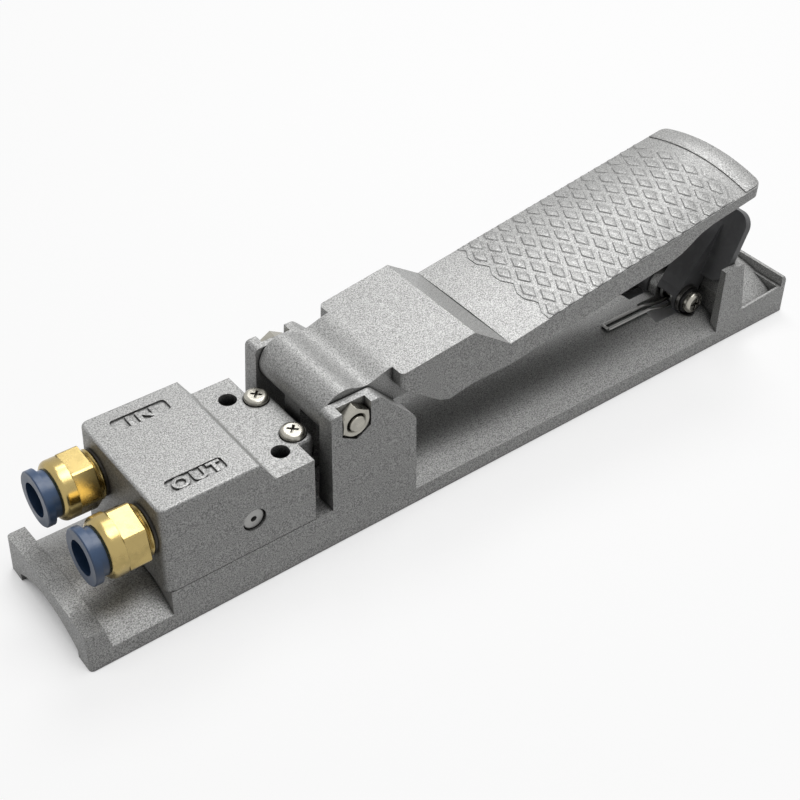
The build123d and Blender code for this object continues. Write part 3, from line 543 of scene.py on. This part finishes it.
@dataclass
class GripNet:
    """Field of raised diamonds and the end band, cast on top of the lever's paddle.

    Sizes and places are in millimetres, stations from the fitting end.
    """

    pitch_x: float = 4.77
    pitch_y: float = 9.0
    middle_x: float = 156.27
    middle_y: float = 1.85
    first_x: float = 127.0
    last_x: float = 187.8
    cells: int = 21
    band: float = 1.35
    field: float = 0.16
    diamond: float = 0.27
    slope: float = 0.2
    sunk: float = 0.15
    edge: float = 0.06
    edge_segments: int = 2
    half_width: float = 17.42
    tip_start: float = 192.8
    tip_end: float = 198.42
    tip_corner: float = 1.9
    tip_raised: float = 0.32
    tip_edge: float = 0.2
    tip_corner_segments: int = 5
    tip_cuts: int = 13

    def steps(self, spot: Vector) -> tuple[float, float]:
        """Counts the cells from the middle of the net to a place, along both runs of bands."""
        across = ((spot.x + HALF_LENGTH) / MM - self.middle_x) / self.pitch_x
        along = (spot.y / MM - self.middle_y) / self.pitch_y
        return across + along, across - along

    def holds(self, i: int, j: int) -> bool:
        """Whether a cell belongs to the net."""
        return self.first_x <= self.middle_x + (i + j) / 2 * self.pitch_x <= self.last_x

    def on_diamond(self, spot: Vector) -> bool:
        """Whether a place lies inside a cell's bands, on its diamond."""
        first, second = self.steps(spot)
        width = self.pitch_x * self.pitch_y / math.hypot(self.pitch_x, self.pitch_y)
        limit = 0.5 - self.band / 2 / width
        return abs(first - round(first)) < limit and abs(second - round(second)) < limit

    def belongs(self, spot: Vector) -> bool:
        """Whether a place lies in a cell of the net, or on the outer band beside one."""
        first, second = self.steps(spot)
        i, j = round(first), round(second)
        if self.holds(i, j):
            return True
        if self.on_diamond(spot):
            return False
        if abs(first - i) > abs(second - j):
            return self.holds(i + (1 if first > i else -1), j)
        return self.holds(i, j + (1 if second > j else -1))

    def lay_on_paddle(self, sheet: bpy.types.Object, raised: float) -> None:
        """Drops a flat sheet onto the lever and lifts it a little.

        Args:
            sheet: Flat sheet above the paddle.
            raised: How far it ends up above the paddle, in millimetres.
        """
        lever = frame["nodes"]["handle_lever"]
        add_modifier(sheet, "SHRINKWRAP", target=lever, wrap_method="PROJECT", use_project_z=True,
                     use_negative_direction=True, use_positive_direction=False)
        start_edit(sheet)
        bpy.ops.transform.translate(value=(0.0, 0.0, raised * MM))
        bpy.ops.object.mode_set(mode="OBJECT")

    def thicken(self, sheet: bpy.types.Object, raised: float, edge: float) -> None:
        """Gives a laid sheet its thickness, down into the paddle, and softens its edges."""
        add_modifier(sheet, "SOLIDIFY", thickness=(raised + self.sunk) * MM, offset=-1.0)
        add_modifier(sheet, "BEVEL", width=edge * MM, segments=self.edge_segments,
                     limit_method="ANGLE", angle_limit=math.radians(SHARP_EDGE))

    def net(self) -> bpy.types.Object:
        """Builds the field with its crossing bands and raised diamonds."""
        clear_selection()
        side = self.pitch_x / math.sqrt(2.0) * MM
        above = place(self.middle_x, self.middle_y, CLEAR_HEIGHT)
        bpy.ops.mesh.primitive_grid_add(x_subdivisions=self.cells, y_subdivisions=self.cells,
                                        size=self.cells * side, location=above)
        sheet = bpy.context.active_object
        start_edit(sheet)
        bpy.ops.transform.rotate(value=math.radians(45.0), orient_axis="Z", center_override=above)
        bpy.ops.transform.resize(value=(1.0, self.pitch_y / self.pitch_x, 1.0), center_override=above)
        inset_faces(self.band / 2 * MM, 0.0)
        choose_faces(sheet, lambda spot: not self.belongs(spot))
        bpy.ops.mesh.delete(type="FACE")
        for way in (-1.0, 1.0):
            flank = place(self.middle_x, way * self.half_width, CLEAR_HEIGHT)
            cut_away(flank, Vector((0.0, way, 0.0)))
        bpy.ops.object.mode_set(mode="OBJECT")
        self.lay_on_paddle(sheet, self.field)
        start_edit(sheet)
        choose_faces(sheet, self.on_diamond)
        inset_faces(self.slope * MM, self.diamond * MM)
        bpy.ops.object.mode_set(mode="OBJECT")
        self.thicken(sheet, self.field, self.edge)
        return settle(sheet, "grip_net")

    def tip_band(self) -> bpy.types.Object:
        """Builds the smooth band across the tip."""
        clear_selection()
        middle = place((self.tip_start + self.tip_end) / 2, 0.0, CLEAR_HEIGHT)
        bpy.ops.mesh.primitive_plane_add(size=1.0, location=middle)
        sheet = bpy.context.active_object
        start_edit(sheet, "VERT")
        length = (self.tip_end - self.tip_start) * MM
        bpy.ops.transform.resize(value=(length, 2 * self.half_width * MM, 1.0), center_override=middle)
        mesh = bmesh.from_edit_mesh(sheet.data)
        for vertex in mesh.verts:
            vertex.select_set((sheet.matrix_world @ vertex.co).x > middle.x)
        mesh.select_flush_mode()
        bmesh.update_edit_mesh(sheet.data)
        bpy.ops.mesh.bevel(offset=self.tip_corner * MM, segments=self.tip_corner_segments,
                           affect="VERTICES")
        for k in range(1, self.tip_cuts + 1):
            y = self.half_width * (2.0 * k / (self.tip_cuts + 1) - 1.0)
            bpy.ops.mesh.select_all(action="SELECT")
            cut = place(self.tip_start, y, CLEAR_HEIGHT)
            bpy.ops.mesh.bisect(plane_co=cut, plane_no=(0.0, 1.0, 0.0))
        bpy.ops.object.mode_set(mode="OBJECT")
        self.lay_on_paddle(sheet, self.tip_raised)
        self.thicken(sheet, self.tip_raised, self.tip_edge)
        return settle(sheet, "tip_band")

    def build(self, finish: bpy.types.Material) -> None:
        """Adds both pieces to the lever."""
        for piece in (self.net(), self.tip_band()):
            piece.data.materials.append(finish)
            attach(piece, Body.LEVER.value)
            log.info("%s: %d faces", piece.name, len(piece.data.polygons))


@dataclass(frozen=True)
class Pocket:
    """Word in a pocket on the valve body, with its start, width and middle in millimetres."""

    text: str
    start: float
    wide: float
    middle_y: float


class Port(Enum):
    """The two ports, by the pocket that names each."""

    INLET = Pocket("IN", start=28.3, wide=6.8, middle_y=11.1)
    OUTLET = Pocket("OUT", start=25.8, wide=11.9, middle_y=-11.6)


@dataclass
class PortWords:
    """Raised words in the two pockets on the valve body, in millimetres."""

    tall: float = 3.5
    floor: float = 33.15
    raised: float = 0.42
    sunk: float = 0.1
    soft: float = 0.05
    weight: float = 0.09
    spacing: float = 1.25
    sharp: float = 30.0

    def word(self, port: Port) -> bpy.types.Object:
        """Builds one word lying in its pocket."""
        pocket = port.value
        clear_selection()
        bpy.ops.object.text_add(location=(0.0, 0.0, 0.0))
        made = bpy.context.active_object
        made.data.body = pocket.text
        made.data.size = self.tall * MM
        made.data.offset = self.weight * MM
        made.data.space_character = self.spacing
        made.data.extrude = (self.raised + self.sunk) / 2 * MM
        made.data.bevel_depth = self.soft * MM
        made.data.bevel_resolution = 1
        bpy.ops.object.convert(target="MESH")
        made = bpy.context.active_object
        corners = [made.matrix_world @ Vector(corner) for corner in made.bound_box]
        low = Vector([min(corner[k] for corner in corners) for k in range(3)])
        high = Vector([max(corner[k] for corner in corners) for k in range(3)])
        start_edit(made, "VERT")
        stretch = (pocket.wide * MM / (high.x - low.x), self.tall * MM / (high.y - low.y), 1.0)
        bpy.ops.transform.resize(value=stretch, center_override=low)
        corner = place(pocket.start, pocket.middle_y - self.tall / 2, self.floor - self.sunk)
        bpy.ops.transform.translate(value=corner - low)
        bpy.ops.object.mode_set(mode="OBJECT")
        return settle(made, "word_" + port.name.lower(), self.sharp)

    def build(self, finish: bpy.types.Material) -> None:
        """Adds both words to the valve body."""
        for port in Port:
            piece = self.word(port)
            piece.data.materials.append(finish)
            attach(piece, Body.BASE.value)
            log.info("%s: %d faces", piece.name, len(piece.data.polygons))


@dataclass
class SpoolSpring:
    """Coil spring in the valve's bore, in millimetres."""

    start: float = 22.1
    end: float = 30.9
    axis_z: float = 17.5
    mean_radius: float = 2.6
    wire: float = 0.4
    wire_sides: int = 10
    turns: float = 4.0
    steps_per_turn: int = 20
    travel: float = 1.95
    sharp: float = 50.0

    def build(self, finish: bpy.types.Material) -> None:
        """Winds the coil in the place of the fixed one."""
        clear_selection()
        foot = place(self.start + self.wire, 0.0, self.axis_z)
        bpy.ops.mesh.primitive_circle_add(vertices=self.wire_sides, radius=self.wire * MM, location=foot)
        coil = bpy.context.active_object
        start_edit(coil, "VERT")
        bpy.ops.transform.rotate(value=math.radians(90.0), orient_axis="X", center_override=foot)
        bpy.ops.transform.translate(value=(0.0, 0.0, self.mean_radius * MM))
        bpy.ops.object.mode_set(mode="OBJECT")
        length = self.end - self.start - 2 * self.wire
        steps = int(self.turns * self.steps_per_turn)
        add_modifier(coil, "SCREW", axis="X", angle=2 * math.pi * self.turns, screw_offset=length * MM,
                     steps=steps, render_steps=steps)
        start_edit(coil, "VERT")
        bpy.ops.mesh.fill_holes(sides=0)
        bpy.ops.object.mode_set(mode="OBJECT")
        settle(coil, "spool_spring_coil", self.sharp)
        coil.data.materials.append(finish)
        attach(coil, Body.BASE.value)
        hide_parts("spool_spring")
        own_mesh(coil)
        log.info("%s: %d faces", coil.name, len(coil.data.polygons))


@dataclass(frozen=True)
class Lamp:
    """Soft square lamp: where it hangs and its side in metres, and its power in watts."""

    name: str
    spot: tuple[float, float, float]
    side: float
    power: float


@dataclass
class Studio:
    """Floor, lamps, sky and the camera.

    The camera was fitted to the photograph. Its eye is in millimetres, its focal
    length and centre are in pixels of the photograph.
    """

    image_width: float = 800.0
    focal_pixels: float = 1385.43
    centre_x: float = 416.60
    centre_y: float = 343.86
    eye: tuple[float, float, float] = (-70.07, -198.40, 233.31)
    forward: tuple[float, float, float] = (0.51209, 0.60010, -0.61453)
    right: tuple[float, float, float] = (0.78233, -0.62121, 0.04529)
    sensor: float = 36.0
    near_clip: float = 0.01
    floor_size: float = 6.0
    floor_height: float = -0.0002
    floor_white: Color = (0.95, 0.95, 0.95)
    floor_glow: float = 0.68
    floor_shadow_reach: float = 30.0 * MM
    floor_shadow_span: Span = (0.15, 0.62)
    fade_from: float = 0.22
    fade_to: float = 0.9
    floor_scatter: Color = (0.18, 0.18, 0.18)
    sky_light: float = 0.18
    white: Color = (1.0, 1.0, 1.0)
    lit_spot: tuple[float, float, float] = (0.0, 0.0, 0.02)
    lamps: tuple[Lamp, ...] = (
        Lamp("top", (0.1, -0.1, 0.88), side=0.5, power=4.4),
        Lamp("rear", (0.30, 0.40, 0.78), side=0.35, power=2.8),
    )

    def camera(self) -> None:
        """Adds the camera."""
        data = bpy.data.cameras.new("camera")
        data.sensor_width = self.sensor
        data.lens = self.focal_pixels / self.image_width * self.sensor
        data.shift_x = (self.image_width / 2 - self.centre_x) / self.image_width
        data.shift_y = (self.centre_y - self.image_width / 2) / self.image_width
        data.clip_start = self.near_clip
        shown = bpy.data.objects.new("camera", data)
        bpy.context.scene.collection.objects.link(shown)
        ahead = Vector(self.forward).normalized()
        up = Vector(self.right).cross(ahead).normalized()
        right = ahead.cross(up)
        turn = Matrix((right, up, -ahead)).transposed().to_4x4()
        shown.matrix_world = Matrix.Translation(place(*self.eye)) @ turn
        bpy.context.scene.camera = shown

    def floor(self) -> None:
        """Adds the floor, white to the camera and plain to the light, with a painted shadow under and
        beside the handle.
        """
        bpy.ops.mesh.primitive_plane_add(size=self.floor_size, location=(0.0, 0.0, self.floor_height))
        plane = bpy.context.active_object
        plane.name = "floor"
        graph = Graph("floor")
        plain = graph.seen_plainly()
        tone = graph.blend(plain, self.floor_scatter, self.floor_white)
        matte = graph.node("ShaderNodeBsdfDiffuse", None, {"Color": tone})
        white = graph.node("ShaderNodeEmission", None, {"Color": (*self.white, 1.0), "Strength": 1.0})
        # Painted shadow: the floor's white glow is cut where the handle shuts the floor in, under and
        # beside it.
        shadow_free_floor = graph.spread(graph.openness(self.floor_shadow_reach), *self.floor_shadow_span)
        away = graph.node("ShaderNodeVectorMath", {"operation": "LENGTH"}, [graph.where()], "Value")
        far = graph.spread(away, self.fade_from, self.fade_to)
        glow = plain * (far * (1.0 - self.floor_glow) + self.floor_glow) * shadow_free_floor
        shown = graph.node("ShaderNodeMixShader", None, {0: glow, 1: matte, 2: white})
        plane.data.materials.append(graph.finish(shown))

    def hang(self, lamp: Lamp) -> None:
        """Hangs a lamp and points it at the handle."""
        data = bpy.data.lights.new(lamp.name, "AREA")
        data.size = lamp.side
        data.energy = lamp.power
        hung = bpy.data.objects.new(lamp.name, data)
        bpy.context.scene.collection.objects.link(hung)
        hung.location = lamp.spot
        toward = Vector(self.lit_spot) - Vector(lamp.spot)
        hung.rotation_euler = toward.to_track_quat("-Z", "Y").to_euler()

    def sky(self) -> None:
        """Sets an even sky, white to the camera and in reflections, softer as a light."""
        graph = Graph("sky", sky=True)
        strength = graph.seen_plainly() * (1.0 - self.sky_light) + self.sky_light
        inputs = {"Color": (*self.white, 1.0), "Strength": strength}
        back = graph.node("ShaderNodeBackground", None, inputs)
        bpy.context.scene.world = graph.finish(back, "ShaderNodeOutputWorld")

    def build(self) -> None:
        """Sets up the whole studio."""
        bpy.context.scene.view_settings.view_transform = "Standard"
        self.camera()
        self.floor()
        for lamp in self.lamps:
            self.hang(lamp)
        self.sky()


def main() -> None:
    """Builds the scene."""
    logging.basicConfig(level=logging.INFO)
    Studio().build()
    finishes = Finishes()
    finishes.dress_frame()
    casting = finishes.by_slot["cast_aluminium"]
    GripNet().build(casting)
    PortWords().build(casting)
    SpoolSpring().build(finishes.by_slot["spring_wire"])


if __name__ == "__main__":
    main()
